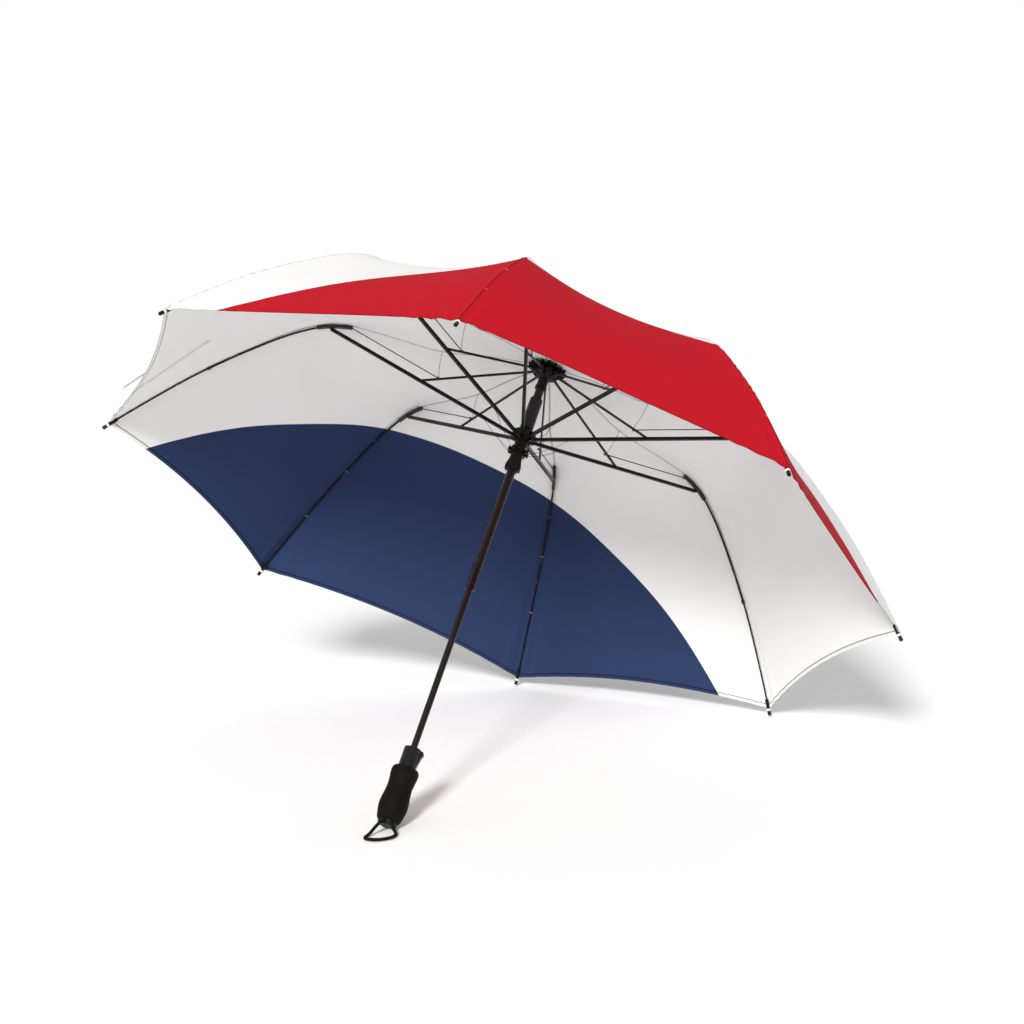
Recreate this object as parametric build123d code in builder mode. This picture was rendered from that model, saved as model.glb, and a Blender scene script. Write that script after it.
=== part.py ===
"""Folding golf umbrella with a telescoping shaft, a sliding runner and eight double-hinged ribs.

The shaft runs along +Z. The origin is the centre of the flat end of the handle, and rib 1 points along +X.
The umbrella is open: every hinge is at its open position. Lengths are in millimetres.
"""

import os
from math import atan2, cos, degrees, hypot, radians, sin

from build123d import *

os.makedirs("parts", exist_ok=True)

# ---- driving dimensions: overall ----
rib_count = 8
rib_step = 360 / rib_count
tip_radius = 640
tip_z = 497
crown_z = 790

# ---- driving dimensions: handle ----
end_face_radius = 11
end_cap_radius = 14.5
end_cap_height = 7
grip_shoulder_radius = 20.6
grip_waist_radius = 18.9
grip_belly_radius = 21.6
grip_top = 92
collar_radius = 13.5
collar_top = 124
button_azimuth_width = 7.2
button_reach = 18.6
button_inner = 10.8
button_top = 122
button_bottom = 96
pocket_floor = 6.6
slip = 0.4

# ---- driving dimensions: wrist cord, which lies on the ground beside the standing umbrella ----
ground_tilt = 39.84
ground_azimuth = 157.5
cord_heading = 196.3
cord_radius = 2.4
cord_hole_radius = 2.65
cord_hole_spread = 24
cord_hole_z = 3.9

# ---- driving dimensions: shaft ----
lower_tube_radius = 5
lower_tube_bore = 4.2
lower_tube_top = 440
lower_tube_foot = 14
upper_tube_radius = 6.8
upper_tube_bore = 6.1
upper_tube_foot = 396
upper_tube_top = 786
end_ring_radius = 7.6
spring_wire = 0.6
spring_turns = 26

# ---- driving dimensions: runner and crown ----
runner_pin_z = 659
crown_pin_z = 776
pin_circle = 15
runner_bore = 8
runner_hub_radius = 19
runner_barrel_radius = 10
runner_foot = 600
slot_floor = 9.5
slot_width = 6.2
sleeve_bottom = 671
sleeve_top = 729
ring_wire_radius = 0.75

# ---- driving dimensions: rib linkage, as points (distance from the shaft, height) ----
link_pivot = (187.5, 710)
stretcher_length_beyond_pivot = 173.5
wire_pivot_offset = 29
link_width = 2.6
link_height = 3.2
stretcher_width = 4.7
stretcher_height = 4.8
channel_width = 3.3
rivet_radius = 0.8
rivet_head_radius = 1.5
rivet_head_height = 0.65
pivot_hole_radius = 1.0
wire_radius = 0.8
wire_offset = 3.7
bracket_size = 4.8
rib_radius = 1.6
rod_radius = 1.25
tip_cap_radius = 2.9
tip_cap_length = 27
tip_cap_overhang = 7
knuckle_pin_radius = 0.6
knuckle_half_width = 2.1
eye_half_width = 0.75
channel_floor = -1.7
fork_depth = 13
wire_eye_radius = 2
wire_eye_half_width = 0.95
lug_radius = 2.3
bracket_lug_height = 5

# The rib's own curve, from the bracket's inner end to the tip.
bracket_end = (377, 755.4)
knuckle = (520, 638)
rib_points = [(322, 770.3), (353, 764.6), bracket_end, (460, 694.5), knuckle, (580, 571), (tip_radius, tip_z)]

# The seam of two gores runs just above its rib, and dips to the wire pivot where it is tied down.
seam_points = [
    (12, 787.5),
    (54, 785.5),
    (106, 779.5),
    (150, 771.5),
    (180, 769),
    (240, 771.5),
    (292, 774),
    (333, 773.6),
    (356, 769.4),
    (402, 746.9),
    (460, 699.1),
    (520, 642.6),
    (580, 576),
    (tip_radius, tip_z + 5.2),
]
fabric_thickness = 0.5
seam_gap_degrees = 0.05
hem_scallop = 22


def rib_plane(azimuth):
    """The upright plane through the shaft at an azimuth: x runs outwards and y runs up."""
    a = radians(azimuth)
    return Plane(origin=(0, 0, 0), x_dir=(cos(a), sin(a), 0), z_dir=(sin(a), -cos(a), 0))


def bar_plane(azimuth, start, end):
    """The same upright plane, with its origin at start and x running along the bar to end."""
    base = rib_plane(azimuth)
    origin = base.from_local_coords(Vector(*start, 0))
    x_dir = base.from_local_coords(Vector(*end, 0)) - origin
    return Plane(origin=origin, x_dir=x_dir, z_dir=base.z_dir)


def along(start, direction_degrees, distance):
    """The point at a distance and direction from start, in a rib's plane."""
    a = radians(direction_degrees)
    return (start[0] + distance * cos(a), start[1] + distance * sin(a))


def direction(start, end):
    """The direction from start to end in a rib's plane, in degrees."""
    return degrees(atan2(end[1] - start[1], end[0] - start[0]))


def length(start, end):
    """The distance between two points in a rib's plane."""
    return hypot(end[0] - start[0], end[1] - start[1])


def write(part, name):
    """Label a finished piece and write it to its own file."""
    part.label = name
    export_step(part, f"parts/{name}.step")


crown_pin = (pin_circle, crown_pin_z)
runner_pin = (pin_circle, runner_pin_z)
stretcher_angle = direction(runner_pin, link_pivot)
rib_pivot = along(link_pivot, stretcher_angle, stretcher_length_beyond_pivot)
link_angle_to_crown = direction(link_pivot, crown_pin)
wire_inner = along(link_pivot, link_angle_to_crown, wire_pivot_offset)
wire_outer = along(rib_pivot, link_angle_to_crown, wire_pivot_offset)
rib_azimuths = [rib_step * i for i in range(rib_count)]
rib_slots = PolarLocations(0, rib_count)

# ---- handle ----

with BuildPart() as end_cap:
    with BuildSketch(Plane.XZ):
        with BuildLine():
            Polyline((0, 0), (end_face_radius, 0), (end_cap_radius, 2.5), (end_cap_radius, end_cap_height))
            Polyline((end_cap_radius, end_cap_height), (8, end_cap_height), (8, lower_tube_foot))
            Polyline((8, lower_tube_foot), (lower_tube_bore - 0.05, lower_tube_foot))
            Polyline((lower_tube_bore - 0.05, lower_tube_foot), (lower_tube_bore - 0.05, 30), (0, 30), (0, 0))
        make_face()
    revolve(axis=Axis.Z)
    for side in (-1, 1):
        hole_azimuth = radians(cord_heading + side * cord_hole_spread)
        hole_axis = Vector(cos(hole_azimuth), sin(hole_azimuth), 0)
        mouth = hole_axis * (end_cap_radius + 1) + Vector(0, 0, cord_hole_z)
        with BuildSketch(Plane(origin=mouth, z_dir=-hole_axis)):
            Circle(cord_hole_radius)
        extrude(amount=end_cap_radius - 4, mode=Mode.SUBTRACT)
write(end_cap.part, "end_cap")

with BuildPart() as grip:
    with BuildSketch(Plane.XZ):
        with BuildLine():
            Polyline((lower_tube_radius, 30), (lower_tube_radius, grip_top), (grip_shoulder_radius - 4, grip_top))
            Spline(
                (grip_shoulder_radius - 4, grip_top),
                (grip_shoulder_radius, grip_top - 12),
                (grip_waist_radius, 63),
                (20.3, 47),
                (grip_belly_radius, 27),
                (18.2, 10.5),
                (end_cap_radius + 1.5, end_cap_height),
                tangents=((1, -0.3), (-0.8, -1)),
            )
            Line((end_cap_radius + 1.5, end_cap_height), (8, end_cap_height))
            Polyline((8, end_cap_height), (8, 30), (lower_tube_radius, 30))
        make_face()
    revolve(axis=Axis.Z)
write(grip.part, "grip")

with BuildPart() as handle_collar:
    with BuildSketch(Plane.XY.offset(grip_top)):
        Circle(collar_radius)
        Circle(lower_tube_radius, mode=Mode.SUBTRACT)
    extrude(amount=collar_top - grip_top)
    fillet(handle_collar.edges().group_by(Axis.Z)[-1].sort_by(SortBy.LENGTH)[-1], radius=1.6)
    # Pocket for the push button, open outwards and upwards.
    with BuildSketch(Plane.XY.offset(button_bottom - slip)):
        with Locations((0, -(pocket_floor + collar_radius) / 2 - 3)):
            Rectangle(button_azimuth_width + 2 * slip, collar_radius - pocket_floor + 6)
    extrude(amount=collar_top, mode=Mode.SUBTRACT)
write(handle_collar.part, "handle_collar")

with BuildPart() as push_button:
    with BuildSketch(Plane.YZ):
        with BuildLine():
            Polyline((-button_inner, button_bottom), (-button_inner, button_top), (-button_reach + 3, button_top + 0.6))
            Line((-button_reach + 3, button_top + 0.6), (-button_reach, button_top - 3.5))
            Spline(
                (-button_reach, button_top - 3.5),
                (-button_reach + 3.2, 107),
                (-collar_radius - 0.4, button_bottom),
                tangents=((1, -1.6), (0, -1)),
            )
            Line((-collar_radius - 0.4, button_bottom), (-button_inner, button_bottom))
        make_face()
    extrude(amount=button_azimuth_width / 2, both=True)
    fillet(push_button.edges().group_by(Axis.Y)[0], radius=0.7)
write(push_button.part, "push_button")

with BuildPart() as button_spring:
    with BuildSketch(Plane.YZ):
        with BuildLine():
            ThreePointArc((-pocket_floor - 0.02, 99), (-pocket_floor - 1.1, 109), (-pocket_floor - 0.02, 119))
            ThreePointArc((-pocket_floor - 0.02, 119), (-pocket_floor - 0.75, 109), (-pocket_floor - 0.02, 99))
        make_face()
    extrude(amount=2.5, both=True)
write(button_spring.part, "button_spring")

ground_normal = Vector(
    sin(radians(ground_tilt)) * cos(radians(ground_azimuth)),
    sin(radians(ground_tilt)) * sin(radians(ground_azimuth)),
    cos(radians(ground_tilt)),
)
heading = Vector(cos(radians(cord_heading)), sin(radians(cord_heading)), 0)
ground_depth = heading - ground_normal * heading.dot(ground_normal)
ground_contact = Vector(0, 0, -end_face_radius * sin(radians(ground_tilt)) / cos(radians(ground_tilt)))
ground = Plane(origin=ground_contact, x_dir=ground_depth.cross(ground_normal), z_dir=ground_normal)


def on_ground(left, towards, height):
    """A point given by its place on the ground plane, seen from the cord's side, and its height above it."""
    return ground.from_local_coords(Vector(left, towards, height))


cord_ends = []
cord_mouths = []
for side in (-1, 1):
    hole_azimuth = radians(cord_heading + side * cord_hole_spread)
    hole_axis = Vector(cos(hole_azimuth), sin(hole_azimuth), 0)
    cord_ends.append(hole_axis * 7 + Vector(0, 0, cord_hole_z))
    cord_mouths.append(hole_axis * (end_cap_radius + 1.5) + Vector(0, 0, cord_hole_z))
cord_height = cord_radius + 0.2
cord_loop = [
    on_ground(22, 18, 9),
    on_ground(32, 28, cord_height),
    on_ground(25, 39, cord_height),
    on_ground(10, 43, cord_height),
    on_ground(-4, 36, cord_height),
    on_ground(-10, 23, 8),
]
with BuildPart() as wrist_cord:
    with BuildLine() as cord_path:
        Line(cord_ends[0], cord_mouths[0])
        Spline(
            cord_mouths[0],
            *cord_loop,
            cord_mouths[1],
            tangents=(cord_mouths[0] - cord_ends[0], cord_ends[1] - cord_mouths[1]),
        )
        Line(cord_mouths[1], cord_ends[1])
    with BuildSketch(Plane(origin=cord_ends[0], z_dir=cord_mouths[0] - cord_ends[0])):
        Circle(cord_radius)
    sweep(path=cord_path.line)
write(wrist_cord.part, "wrist_cord")

# ---- shaft ----

with BuildPart() as lower_tube:
    with BuildSketch(Plane.XY.offset(lower_tube_foot)):
        Circle(lower_tube_radius)
        Circle(lower_tube_bore, mode=Mode.SUBTRACT)
    extrude(amount=lower_tube_top - lower_tube_foot)
write(lower_tube.part, "lower_tube")

guide_radius = upper_tube_bore - 0.1
guide_top = lower_tube_top + 6
with BuildPart() as tube_guide:
    with BuildSketch(Plane.XY.offset(lower_tube_top - 10)):
        Circle(guide_radius)
    extrude(amount=guide_top - lower_tube_top + 10)
    with BuildSketch(Plane.XY.offset(lower_tube_top - 10)):
        Circle(lower_tube_radius)
    extrude(amount=10, mode=Mode.SUBTRACT)
    with BuildSketch(Plane.XY.offset(guide_top - 3)):
        Circle(guide_radius)
        Circle(guide_radius - 0.8, mode=Mode.SUBTRACT)
    extrude(amount=1.2, mode=Mode.SUBTRACT)
write(tube_guide.part, "tube_guide")

with BuildPart() as upper_tube:
    with BuildSketch(Plane.XY.offset(upper_tube_foot)):
        Circle(upper_tube_radius)
        Circle(upper_tube_bore, mode=Mode.SUBTRACT)
    extrude(amount=upper_tube_top - upper_tube_foot)
write(upper_tube.part, "upper_tube")

ring_height = 7
collar_foot = upper_tube_foot - 6
with BuildPart() as tube_collar:
    with BuildSketch(Plane.XZ):
        with BuildLine():
            Polyline(
                (lower_tube_radius + 0.15, collar_foot),
                (end_ring_radius - 0.5, collar_foot),
                (end_ring_radius, collar_foot + 1),
                (end_ring_radius, collar_foot + 1 + ring_height),
                (end_ring_radius - 0.4, collar_foot + 2 + ring_height),
                (end_ring_radius - 0.4, collar_foot + 36),
                (end_ring_radius, collar_foot + 37),
                (end_ring_radius, collar_foot + 37 + ring_height),
                (end_ring_radius - 0.4, collar_foot + 38 + ring_height),
                (upper_tube_radius, collar_foot + 38 + ring_height),
                (upper_tube_radius, upper_tube_foot),
                (lower_tube_radius + 0.15, upper_tube_foot),
                close=True,
            )
        make_face()
    revolve(axis=Axis.Z)
write(tube_collar.part, "tube_collar")

spring_foot = guide_top + spring_wire
spring_head = upper_tube_top - 18 - spring_wire
with BuildPart() as opening_spring:
    with BuildLine() as spring_path:
        Helix(
            pitch=(spring_head - spring_foot) / spring_turns,
            height=spring_head - spring_foot,
            radius=4.4,
            center=(0, 0, spring_foot),
        )
    with BuildSketch(Plane(origin=spring_path.line @ 0, z_dir=spring_path.line % 0)):
        Circle(spring_wire)
    sweep(path=spring_path.line, is_frenet=True)
write(opening_spring.part, "opening_spring")

# ---- runner ----

with BuildPart() as runner:
    with BuildSketch(Plane.XZ):
        with BuildLine():
            Polyline(
                (runner_bore, runner_foot),
                (12.5, runner_foot),
                (12.5, runner_foot + 8),
                (runner_barrel_radius, runner_foot + 18),
                (runner_barrel_radius, 652),
                (runner_hub_radius, 654),
                (runner_hub_radius, 666),
                (runner_hub_radius - 4, 669),
                (runner_barrel_radius, sleeve_bottom),
                (runner_bore, sleeve_bottom),
                close=True,
            )
        make_face()
    revolve(axis=Axis.Z)
    # Slots that take the stretchers' inner ends, open outwards, upwards and downwards.
    with BuildSketch(Plane.XY.offset(runner_foot - 1)):
        with PolarLocations(slot_floor + 8, rib_count):
            Rectangle(16, slot_width)
    extrude(amount=sleeve_bottom - runner_foot + 2, mode=Mode.SUBTRACT)
    # Ribbed neck below the hub.
    for groove_z in (640, 644, 648):
        with BuildSketch(Plane.XY.offset(groove_z)):
            Circle(runner_barrel_radius + 1)
            Circle(runner_barrel_radius - 1, mode=Mode.SUBTRACT)
        extrude(amount=1.6, mode=Mode.SUBTRACT)
write(runner.part, "runner")

with BuildPart() as runner_flange:
    with BuildSketch(Plane.XY.offset(630)):
        Circle(17)
        Circle(runner_barrel_radius, mode=Mode.SUBTRACT)
        with PolarLocations(slot_floor + 8, rib_count):
            Rectangle(16, slot_width, mode=Mode.SUBTRACT)
    extrude(amount=6)
write(runner_flange.part, "runner_flange")

with BuildPart() as runner_sleeve:
    with BuildSketch(Plane.XZ):
        with BuildLine():
            Polyline(
                (runner_bore, sleeve_bottom),
                (9.4, sleeve_bottom),
                (10.6, sleeve_bottom + 4),
                (10.2, sleeve_top - 1.5),
                (9.2, sleeve_top),
                (runner_bore, sleeve_top),
                close=True,
            )
        make_face()
    revolve(axis=Axis.Z)
write(runner_sleeve.part, "runner_sleeve")

# ---- crown ----

hub_top = upper_tube_top
with BuildPart() as crown_hub:
    with BuildSketch(Plane.XZ):
        with BuildLine():
            Polyline(
                (upper_tube_radius, 747),
                (9.2, 747),
                (9.2, 752),
                (8.0, 753),
                (8.0, 766),
                (14, 770),
                (20, 772),
                (20, 781),
                (17, hub_top),
                (upper_tube_radius, hub_top),
                close=True,
            )
        make_face()
    revolve(axis=Axis.Z)
    with BuildSketch(Plane.XY.offset(760)):
        with PolarLocations(pin_circle - 2.6 + 8, rib_count):
            Rectangle(16, link_width + 2 * slip)
    extrude(amount=hub_top - 760 + 1, mode=Mode.SUBTRACT)
    with BuildSketch(Plane.XZ):
        with Locations(crown_pin):
            Circle(ring_wire_radius)
    revolve(axis=Axis.Z, mode=Mode.SUBTRACT)
write(crown_hub.part, "crown_hub")

with BuildPart() as crown_ring_wire:
    with BuildSketch(Plane.XZ):
        with Locations(crown_pin):
            Circle(ring_wire_radius)
    revolve(axis=Axis.Z)
write(crown_ring_wire.part, "crown_ring_wire")

plug_foot = upper_tube_top - 18
cap_base = crown_z - 1
with BuildPart() as top_cap:
    with BuildSketch(Plane.XZ):
        with BuildLine():
            Polyline((0, plug_foot), (upper_tube_bore, plug_foot), (upper_tube_bore, upper_tube_top))
            Polyline((upper_tube_bore, upper_tube_top), (8, upper_tube_top), (8, cap_base + 2.5), (15, cap_base + 2.5))
            Spline((15, cap_base + 2.5), (11.5, 797), (6, 801), tangents=((0, 1), (-0.2, 1)))
            Line((6, 801), (6, 814))
            Spline((6, 814), (4, 817.2), (0, 818), tangents=((0, 1), (-1, 0)))
            Line((0, 818), (0, plug_foot))
        make_face()
    revolve(axis=Axis.Z)
write(top_cap.part, "top_cap")

with BuildPart() as crown_rosette:
    with BuildSketch(Plane.XY.offset(hub_top + 0.2)):
        Circle(26)
        Circle(8.2, mode=Mode.SUBTRACT)
        with PolarLocations(27.5, 2 * rib_count):
            Circle(2.6, mode=Mode.SUBTRACT)
    extrude(amount=0.8)
write(crown_rosette.part, "crown_rosette")


# ---- canopy ----

def seam_section(azimuth):
    """The fabric's section on a seam: the seam curve and the same curve one thickness higher."""
    with BuildSketch(rib_plane(azimuth)) as section:
        with BuildLine():
            lifted = [(r, z + fabric_thickness) for r, z in seam_points]
            Spline(*seam_points)
            Spline(*lifted)
            Line(seam_points[0], lifted[0])
            Line(seam_points[-1], lifted[-1])
        make_face()
    return section.sketch


def make_gore(azimuth):
    """One gore of the canopy, ruled between its two seams, with its hem cut to a hollow curve."""
    seams = (azimuth + seam_gap_degrees, azimuth + rib_step - seam_gap_degrees)
    hem_mid_radius = tip_radius * cos(radians(rib_step / 2)) - hem_scallop
    hem_mid = Vector(hem_mid_radius, 0).rotate(Axis.Z, azimuth + rib_step / 2)
    tip_a, tip_b = (Vector(tip_radius, 0).rotate(Axis.Z, seam) for seam in seams)
    with BuildPart() as gore:
        loft(sections=[seam_section(seam).faces()[0] for seam in seams], ruled=True)
        with BuildSketch(Plane.XY.offset(tip_z - 20)):
            with BuildLine():
                ThreePointArc(tip_a, hem_mid, tip_b)
                Polyline(tip_a, 2 * tip_a, 2 * tip_b, tip_b)
            make_face()
        extrude(amount=crown_z - tip_z, mode=Mode.SUBTRACT)
    return gore.part


gores = [make_gore(azimuth) for azimuth in rib_azimuths]
with BuildPart() as canopy:
    for gore in gores:
        add(gore)
write(canopy.part, "canopy")

strap_clearance = 9
strap_root = Vector(-183, 473, 602.5)
strap_tip = Vector(-120, 586, 507)
strap_run = strap_tip - strap_root
gore_azimuth = radians(2.5 * rib_step)
gore_normal = Vector(cos(gore_azimuth), sin(gore_azimuth), 1.0)
strap_plane = Plane(
    origin=strap_root,
    x_dir=strap_run,
    z_dir=gore_normal - strap_run * (gore_normal.dot(strap_run) / strap_run.dot(strap_run)),
).offset(strap_clearance)
with BuildPart() as closing_strap:
    with BuildSketch(strap_plane):
        with Locations((strap_run.length / 2, 0)):
            SlotOverall(strap_run.length, 10)
    extrude(amount=0.9)
    with BuildSketch(strap_plane.offset(0.9)):
        with Locations((strap_run.length - 8, 0)):
            Circle(3.6)
    extrude(amount=1.1)
write(closing_strap.part, "closing_strap")


# ---- rib linkage, eight times ----

def bar_outline(plane, bar_length, height):
    """The side view of a flat bar with round ends, running from the plane's origin along its x."""
    with BuildSketch(plane) as outline:
        with Locations((bar_length / 2, 0)):
            SlotCenterToCenter(bar_length, height)
    return outline.sketch


def disc(plane, x, radius, y=0):
    """The side view of a round pin, hole or eye."""
    with BuildSketch(plane) as circle:
        with Locations((x, y)):
            Circle(radius)
    return circle.sketch


def block(plane, x, y, width, height):
    """A rectangle in side view, centred on x, y."""
    with BuildSketch(plane) as rectangle:
        with Locations((x, y)):
            Rectangle(width, height)
    return rectangle.sketch


def make_crown_link(azimuth):
    """The bar from the crown's ring wire down to the middle of the stretcher."""
    plane = bar_plane(azimuth, crown_pin, link_pivot)
    bar_length = length(crown_pin, link_pivot)
    with BuildPart() as crown_link:
        extrude(bar_outline(plane, bar_length, link_height), amount=link_width / 2, both=True)
        # Folded-channel groove along the upper side.
        groove = block(plane, (bar_length - 30) / 2, link_height / 2, bar_length - 50, 2.4)
        extrude(groove, amount=link_width / 2 - 0.6, both=True, mode=Mode.SUBTRACT)
        # Side pin that carries the link wire.
        wire_pin = disc(plane, bar_length - wire_pivot_offset, rivet_radius)
        extrude(wire_pin, amount=-wire_offset - 1.1)
        for x in (0, bar_length):
            extrude(disc(plane, x, pivot_hole_radius), amount=link_width, both=True, mode=Mode.SUBTRACT)
    return crown_link.part


def make_stretcher(azimuth):
    """The channel bar from the runner out to the rib, riveted to the crown link on its way."""
    plane = bar_plane(azimuth, runner_pin, rib_pivot)
    bar_length = length(runner_pin, rib_pivot)
    pivot_x = length(runner_pin, link_pivot)
    with BuildPart() as stretcher:
        extrude(bar_outline(plane, bar_length, stretcher_height), amount=stretcher_width / 2, both=True)
        channel = block(plane, bar_length / 2 + 6, channel_floor + 5, bar_length, 10)
        extrude(channel, amount=channel_width / 2, both=True, mode=Mode.SUBTRACT)
        fork = block(plane, bar_length, 0, 2 * fork_depth, 10)
        extrude(fork, amount=channel_width / 2, both=True, mode=Mode.SUBTRACT)
        for x in (pivot_x, bar_length):
            extrude(disc(plane, x, rivet_radius), amount=stretcher_width / 2, both=True)
            head = stretcher_width / 2 + rivet_head_height
            with BuildSketch(plane.offset(-head)):
                with Locations((x, 0)):
                    Circle(rivet_head_radius)
            extrude(amount=rivet_head_height)
            with BuildSketch(plane.offset(stretcher_width / 2)):
                with Locations((x, 0)):
                    Circle(rivet_head_radius)
            extrude(amount=rivet_head_height)
    return stretcher.part


def make_link_wire(azimuth):
    """The thin wire that keeps the rib's bracket parallel to the crown link, beside the stretcher."""
    plane = bar_plane(azimuth, wire_inner, wire_outer).offset(-wire_offset)
    wire_length = length(wire_inner, wire_outer)
    with BuildPart() as link_wire:
        with BuildSketch(Plane(origin=plane.origin, z_dir=plane.x_dir)):
            Circle(wire_radius)
        extrude(amount=wire_length)
        for x in (0, wire_length):
            extrude(disc(plane, x, wire_eye_radius), amount=wire_eye_half_width, both=True)
        extrude(disc(plane, 0, pivot_hole_radius), amount=2 * wire_radius, both=True, mode=Mode.SUBTRACT)
    return link_wire.part


def make_rib_inner(azimuth):
    """The bracket over the stretcher's outer end, and the thick part of the rib out to the knuckle."""
    base = rib_plane(azimuth)
    fork_start = along(knuckle, direction(knuckle, rib_points[3]), 3.2)
    fork_plane = bar_plane(azimuth, fork_start, knuckle)
    fork_length = length(fork_start, knuckle)
    with BuildPart() as rib_inner:
        with BuildLine(base) as bracket_path:
            Spline(*rib_points[:3], tangents=((1, -0.1), (1, -0.52)))
        with BuildSketch(Plane(origin=bracket_path.line @ 0, x_dir=base.z_dir, z_dir=bracket_path.line % 0)):
            Rectangle(bracket_size, bracket_size)
        sweep(path=bracket_path.line)
        with BuildLine(base) as rib_path:
            Spline(bracket_end, rib_points[3], fork_start, tangents=((1, -0.52), (1, -1)))
        with BuildSketch(Plane(origin=rib_path.line @ 0, z_dir=rib_path.line % 0)):
            Circle(rib_radius)
        sweep(path=rib_path.line)
        # Lug that drops into the stretcher's forked end, with its rivet hole.
        lug_height = bracket_lug_height
        lug = block(base, rib_pivot[0], rib_pivot[1] + lug_height / 2, 2 * lug_radius, lug_height)
        extrude(lug, amount=link_width / 2, both=True)
        extrude(disc(base, rib_pivot[0], lug_radius, rib_pivot[1]), amount=link_width / 2, both=True)
        lug_hole = disc(base, rib_pivot[0], pivot_hole_radius, rib_pivot[1])
        extrude(lug_hole, amount=link_width, both=True, mode=Mode.SUBTRACT)
        # Fork with its pin at the knuckle.
        extrude(bar_outline(fork_plane, fork_length, 3.6), amount=knuckle_half_width, both=True)
        fork_gap = block(fork_plane, fork_length, 0, 5, 6)
        extrude(fork_gap, amount=knuckle_half_width / 2, both=True, mode=Mode.SUBTRACT)
        extrude(disc(fork_plane, fork_length, knuckle_pin_radius), amount=knuckle_half_width, both=True)
    return rib_inner.part


def make_rib_outer(azimuth):
    """The springy rod from the knuckle to the tip, with its tip cap."""
    base = rib_plane(azimuth)
    rod_start = along(knuckle, direction(knuckle, rib_points[5]), 3)
    eye_plane = bar_plane(azimuth, knuckle, rod_start)
    tip_direction = direction((0, 0), (1, -1.3))
    cap_start = along(rib_points[6], tip_direction, tip_cap_overhang - tip_cap_length)
    cap_plane = bar_plane(azimuth, cap_start, rib_points[6])
    with BuildPart() as rib_outer:
        with BuildLine(base) as rod_path:
            Spline(rod_start, rib_points[5], rib_points[6], tangents=((1, -1.0), (1, -1.3)))
        with BuildSketch(Plane(origin=rod_path.line @ 0, z_dir=rod_path.line % 0)):
            Circle(rod_radius)
        sweep(path=rod_path.line)
        extrude(bar_outline(eye_plane, length(knuckle, rod_start), 2.6), amount=eye_half_width, both=True)
        eye_hole = disc(eye_plane, 0, knuckle_pin_radius + 0.2)
        extrude(eye_hole, amount=2 * eye_half_width, both=True, mode=Mode.SUBTRACT)
        with BuildSketch(Plane(origin=cap_plane.origin, z_dir=cap_plane.x_dir)):
            Circle(tip_cap_radius)
        extrude(amount=tip_cap_length)
        cap_axis = Axis(cap_plane.origin, cap_plane.x_dir)
        fillet(rib_outer.edges().filter_by(GeomType.CIRCLE).sort_by(cap_axis)[-1], radius=0.8)
    return rib_outer.part


for number, azimuth in enumerate(rib_azimuths, start=1):
    write(make_crown_link(azimuth), f"crown_link_{number}")
    write(make_stretcher(azimuth), f"stretcher_{number}")
    write(make_link_wire(azimuth), f"link_wire_{number}")
    write(make_rib_inner(azimuth), f"rib_inner_{number}")
    write(make_rib_outer(azimuth), f"rib_outer_{number}")
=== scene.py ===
"""Golf umbrella, open, lying on the ground on its handle end and two of its rib tips.

The frame brings the tubes, links, ribs, runner and handle. This script adds the fabric canopy, the
rosette, the wrist cord, the closing strap, the spring inside the shaft and the small cords, and gives
every piece its material. Lengths are in metres, in the upright umbrella's own axes. The ground, the
light and the camera are tilted to it.
"""

import math

import bpy
import numpy as np
from mathutils import Matrix, Vector


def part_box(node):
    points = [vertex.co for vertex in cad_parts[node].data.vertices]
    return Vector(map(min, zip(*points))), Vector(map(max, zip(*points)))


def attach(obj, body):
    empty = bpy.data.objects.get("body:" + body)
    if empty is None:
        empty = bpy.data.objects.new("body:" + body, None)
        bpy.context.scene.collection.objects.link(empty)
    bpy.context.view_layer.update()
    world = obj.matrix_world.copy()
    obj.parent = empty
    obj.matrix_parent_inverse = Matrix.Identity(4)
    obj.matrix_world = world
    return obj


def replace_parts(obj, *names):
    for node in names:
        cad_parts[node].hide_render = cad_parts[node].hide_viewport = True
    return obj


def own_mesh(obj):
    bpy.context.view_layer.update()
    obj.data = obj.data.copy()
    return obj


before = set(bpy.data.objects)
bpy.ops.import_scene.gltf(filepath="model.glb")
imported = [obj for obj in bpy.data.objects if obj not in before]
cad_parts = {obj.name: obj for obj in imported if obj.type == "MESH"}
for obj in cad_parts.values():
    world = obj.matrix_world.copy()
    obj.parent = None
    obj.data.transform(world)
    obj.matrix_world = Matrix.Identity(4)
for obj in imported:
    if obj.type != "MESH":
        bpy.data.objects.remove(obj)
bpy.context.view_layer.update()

MM = 0.001
RIBS = 8
STEP = math.tau / RIBS
UP = Vector((0, 0, 1))
canopy_low, canopy_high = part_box("canopy")
TIP_RADIUS = canopy_high.x
TIP_HEIGHT = canopy_low.z

# How the umbrella lies: the ground's normal leans this far from the shaft, towards this azimuth. The
# ground touches the rim of the handle's end face.
GROUND_TILT = math.radians(39.84)
GROUND_AZIMUTH = math.radians(157.5)
END_FACE_RADIUS = 0.011
GROUND_NORMAL = Vector((
    math.sin(GROUND_TILT) * math.cos(GROUND_AZIMUTH),
    math.sin(GROUND_TILT) * math.sin(GROUND_AZIMUTH),
    math.cos(GROUND_TILT),
))
GROUND_POINT = Vector((0, 0, -END_FACE_RADIUS * math.tan(GROUND_TILT)))


# ---- the canopy's surface ----

# The seam's profile over a rib, as distance from the shaft and height above the rib tip.
SEAM_PROFILE = np.array([
    (0.009, 0.2857), (0.054, 0.2836), (0.106, 0.2776), (0.150, 0.2696), (0.180, 0.2671),
    (0.240, 0.2696), (0.292, 0.2721), (0.333, 0.2717), (0.356, 0.2675), (0.402, 0.2450),
    (0.460, 0.1972), (0.520, 0.1407), (0.580, 0.0741), (0.640, 0.0003),
])

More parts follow.
